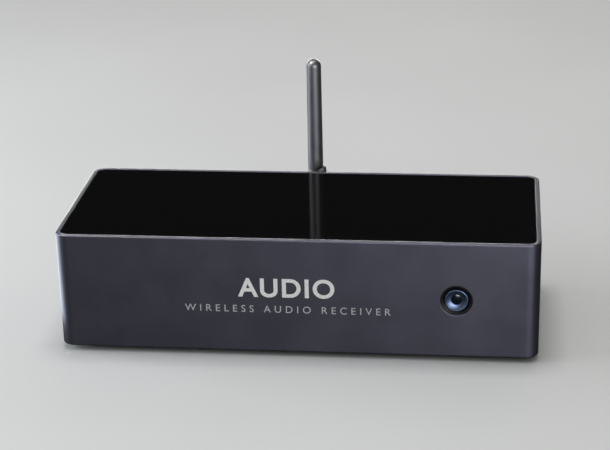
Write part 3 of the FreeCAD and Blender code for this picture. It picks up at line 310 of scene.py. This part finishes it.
FINISHES = {
    "anodised": blasted_metal("anodised_slate", SLATE, 0.40, 1.35),
    "glass": black_glass("black_glass"),
    "tape": moulded("foam_tape", BLACK, 0.8),
    "black_steel": moulded("textured_black_paint", (0.014, 0.014, 0.015), 0.5, 0.7, 0.06),
    "panel": blasted_metal("anodised_black", (0.022, 0.022, 0.025), 0.42, 2.2),
    "rubber": moulded("foot_rubber", (0.010, 0.010, 0.010), 0.7, 0.6, 0.05),
    "steel": plated("zinc_steel", (0.55, 0.56, 0.58), 0.28),
    "black_screw": plated("black_oxide", (0.045, 0.045, 0.05), 0.30),
    "bezel": moulded("bezel_black", (0.004, 0.004, 0.006), 0.45, 0.3, 0.01, 0.15),
    "cap": plated("cap_metal", (0.06, 0.085, 0.13), 0.42, centre=CAP_CENTRE),
    "lens": moulded("smoked_lens", (0.003, 0.006, 0.014), 0.16, 0.4, 0.004, 0.3),
    "white_plastic": moulded("white_plastic", (0.72, 0.71, 0.68), 0.35),
    "red_plastic": moulded("red_plastic", (0.50, 0.012, 0.012), 0.35),
    "orange_plastic": moulded("orange_plastic", (0.72, 0.17, 0.012), 0.35),
    "black_plastic": moulded("black_plastic", BLACK, 0.45),
    "board": board_lacquer("green_board"),
    "gold": plated("gold_plate", (0.82, 0.60, 0.26), 0.18),
    "silver": plated("tin_plate", (0.76, 0.76, 0.77), 0.20),
    "can": plated("drawn_can", (0.62, 0.63, 0.64), 0.30, (1, 1, 6)),
    "antenna_rubber": moulded("aerial_sheath", (0.034, 0.038, 0.048), 0.44, 0.3, 0.01, 1.0),
    "chip": moulded("chip_epoxy", (0.015, 0.015, 0.015), 0.5, 0.2, 0.01),
    "cable": moulded("cable_jacket", BLACK, 0.35),
    "ribbon": moulded("ribbon_grey", (0.35, 0.35, 0.37), 0.5, 1.0, 0.08),
    "copper": plated("copper_wire", (0.75, 0.40, 0.22), 0.25),
}


def dress_cad_nodes():
    """Gives every CAD node the finish of its material slot."""
    for part in frame["record"]["subparts"]:
        node = frame["nodes"][part["node"]]
        for slot in node.material_slots:
            slot.material = FINISHES[part["material_slot"]]


# Printed words

def spread(curve, piece, width):
    """Spaces the letters of a line so that it has a given width, which grows evenly with the spacing."""
    widths = []
    for spacing in (1.0, 2.0):
        curve.space_character = spacing
        bpy.context.view_layer.update()
        widths.append(piece.dimensions.x)
    curve.space_character = 1.0 + (width - widths[0]) / (widths[1] - widths[0])


def words(name, text, place, height, material, width=None, facing=0.0, bold=0.0):
    """A flat printed line with capitals of a height, about a middle point on a face."""
    curve = bpy.data.curves.new(name, "FONT")
    curve.body = text
    curve.align_x = "CENTER"
    curve.align_y = "CENTER"
    curve.size = height / CAPITAL_SHARE
    curve.offset = bold * height
    curve.extrude = INK_PROUD / 2
    curve.materials.append(material)
    piece = bpy.data.objects.new(name, curve)
    bpy.context.scene.collection.objects.link(piece)
    piece.rotation_euler = (math.pi / 2, 0.0, facing)
    piece.location = place
    if width is not None:
        spread(curve, piece, width)
    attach(piece, "housing")


def front_words():
    """A bold word and a finer line below it, in the middle of the front."""
    bright = printed_ink("ink_bright", (0.86, 0.86, 0.83), (0.60, 0.60, 0.60))
    grey = printed_ink("ink_grey", (0.50, 0.50, 0.51), (0.36, 0.36, 0.37))
    y = FRONT_Y - INK_PROUD
    word_at = (WORDS_X, y, MID_Z + WORD_ABOVE)
    line_at = (WORDS_X, y, MID_Z - LINE_BELOW)
    words("front_word", "AUDIO", word_at, WORD_H, bright, width=WORD_W, bold=WORD_BOLD)
    words("front_line", "WIRELESS AUDIO RECEIVER", line_at, LINE_H, grey, width=LINE_W)


def rear_words():
    """Small labels at the sockets, in a row near the panel's top or bottom edge or just above a socket."""
    ink = printed_ink("ink_rear", (0.45, 0.45, 0.45), (0.28, 0.28, 0.29))
    high_z = panel_high.z - REAR_LABEL_INSET
    low_z = panel_low.z + REAR_LABEL_INSET
    labels = {
        "xlr_left_housing": ("BALANCED L", high_z),
        "xlr_right_housing": ("BALANCED R", high_z),
        "analog_out_block": ("OUT", low_z),
        "analog_in_block": ("IN", low_z),
        "coax_block": ("COAXIAL", low_z),
        "optical_out_housing": ("OUT", None),
        "optical_in_housing": ("IN", None),
        "dc_jack_housing": ("POWER", None),
    }
    for node, (text, z) in labels.items():
        low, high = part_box(node)
        label_z = high.z + REAR_LABEL_GAP if z is None else z
        place = ((low.x + high.x) / 2, REAR_Y + INK_PROUD, label_z)
        words("label_" + node, text, place, REAR_LABEL_H, ink, facing=math.pi)


# Stage

def floor():
    """A plain pale floor, darker where the object mirrors it."""
    mesh = bpy.data.meshes.new("floor")
    turns = ((-1, -1), (1, -1), (1, 1), (-1, 1))
    corners = [(x * FLOOR_REACH, y * FLOOR_REACH, 0) for x, y in turns]
    mesh.from_pydata(corners, [], [(0, 1, 2, 3)])
    finish = Finish("pale_floor")
    tone = finish.remap(finish.noise(0.35), 0.0, 1.0)
    pale = finish.mix(tone, (0.52, 0.52, 0.51), (0.57, 0.57, 0.56))
    mirrored = finish.add("ShaderNodeLightPath").outputs["Is Glossy Ray"]
    finish.set("Base Color", finish.mix(mirrored, pale, (0.06, 0.06, 0.065)))
    finish.set("Roughness", 0.75)
    finish.bump(finish.noise(1.5 * MM), 0.02 * MM)
    mesh.materials.append(finish.done())
    piece = bpy.data.objects.new("floor", mesh)
    bpy.context.scene.collection.objects.link(piece)


def keep_off(lamp, pieces):
    """Stops a light from reaching some pieces."""
    spared = bpy.data.collections.new(lamp.name + "_spares")
    for piece in pieces:
        spared.objects.link(piece)
    for member in spared.collection_objects:
        member.light_linking.link_state = "EXCLUDE"
    lamp.light_linking.receiver_collection = spared


def soft_light(name, place, target, size, power, colour=WHITE, mirrored_only=False):
    """A soft rectangular light aimed at a point, hidden from the camera and from the black glass.

    A light that is mirrored only makes highlights, and leaves the floor and its shadows alone.
    """
    light = bpy.data.lights.new(name, "AREA")
    light.shape = "RECTANGLE"
    light.size, light.size_y = size
    light.energy = power
    light.color = colour
    lamp = bpy.data.objects.new(name, light)
    bpy.context.scene.collection.objects.link(lamp)
    lamp.location = place
    lamp.rotation_mode = "QUATERNION"
    lamp.rotation_quaternion = (Vector(target) - Vector(place)).to_track_quat("-Z", "Y")
    lamp.visible_camera = False
    lamp.visible_diffuse = not mirrored_only
    spared = [frame["nodes"]["top_glass"]]
    if mirrored_only:
        spared.append(bpy.data.objects["floor"])
    keep_off(lamp, spared)


def lights():
    """A cool key and low strip at the left, a light overhead, and small ones that only mirrors see."""
    middle = Vector((0.0, 0.0, MID_Z))
    beside = Vector((-HALF_W - 0.125, 0.06, 0.004))
    up = Vector((0, 0, 1))
    soft_light("left_strip", beside, beside + up, (0.21, 0.22), 0.60, COOL)
    soft_light("left_key", (-0.85, -0.05, 0.24), middle, (0.70, 0.44), 7.5, COOL)
    soft_light("front_fill", (0.40, -1.00, 0.22), middle, (0.85, 0.35), 18.0, VIOLET, mirrored_only=True)
    soft_light("right_band", (0.72, -0.84, 0.06), middle, (0.14, 0.12), 3.0, COOL, mirrored_only=True)
    soft_light("back_rim", (0.0, 1.00, 0.85), middle, (1.0, 0.3), 1.0, WARM)
    soft_light("back_fill", (-0.25, 1.30, 0.08), middle, (1.2, 0.14), 16.0, mirrored_only=True)
    soft_light("overhead", (0.0, 0.1, 1.5), middle, (0.5, 0.5), 10.0)
    soft_light("tip_glint", (-0.62, -0.12, 1.02), middle, (0.4, 0.4), 30.0, WARM, mirrored_only=True)


def world():
    """Pale to the camera, dim for reflections, and soft for general light."""
    scene_world = bpy.data.worlds.new("studio")
    bpy.context.scene.world = scene_world
    scene_world.use_nodes = True
    tree = scene_world.node_tree
    background = tree.nodes["Background"]
    paths = tree.nodes.new("ShaderNodeLightPath")
    unseen = tree.nodes.new("ShaderNodeMix")
    unseen.inputs["A"].default_value = WORLD_GENERAL
    unseen.inputs["B"].default_value = WORLD_MIRRORED
    tree.links.new(paths.outputs["Is Glossy Ray"], unseen.inputs["Factor"])
    level = tree.nodes.new("ShaderNodeMix")
    level.inputs["B"].default_value = WORLD_SEEN
    tree.links.new(unseen.outputs["Result"], level.inputs["A"])
    tree.links.new(paths.outputs["Is Camera Ray"], level.inputs["Factor"])
    tree.links.new(level.outputs["Result"], background.inputs["Strength"])
    background.inputs["Color"].default_value = (*WHITE, 1.0)


def camera():
    """Looks down on the front from slightly to the right."""
    data = bpy.data.cameras.new("camera")
    data.lens = CAMERA_LENS
    data.sensor_width = 36.0
    data.clip_start = 0.02
    lens = bpy.data.objects.new("camera", data)
    bpy.context.scene.collection.objects.link(lens)
    azimuth = math.radians(CAMERA_AZIMUTH)
    elevation = math.radians(CAMERA_ELEVATION)
    level = math.cos(elevation)
    away = Vector((math.sin(azimuth) * level, -math.cos(azimuth) * level, math.sin(elevation)))
    lens.location = Vector((0.0, FRONT_Y, MID_Z)) + away * CAMERA_DISTANCE
    aim = Vector((0.0, 0.0, MID_Z + CAMERA_AIM_ABOVE)) - lens.location
    lens.rotation_mode = "QUATERNION"
    turn = Quaternion((0, 0, 1), math.radians(CAMERA_ROLL))
    lens.rotation_quaternion = aim.to_track_quat("-Z", "Y") @ turn
    bpy.context.scene.camera = lens


dress_cad_nodes()
front_words()
rear_words()
floor()
lights()
world()
camera()
bpy.context.scene.view_settings.view_transform = "Standard"
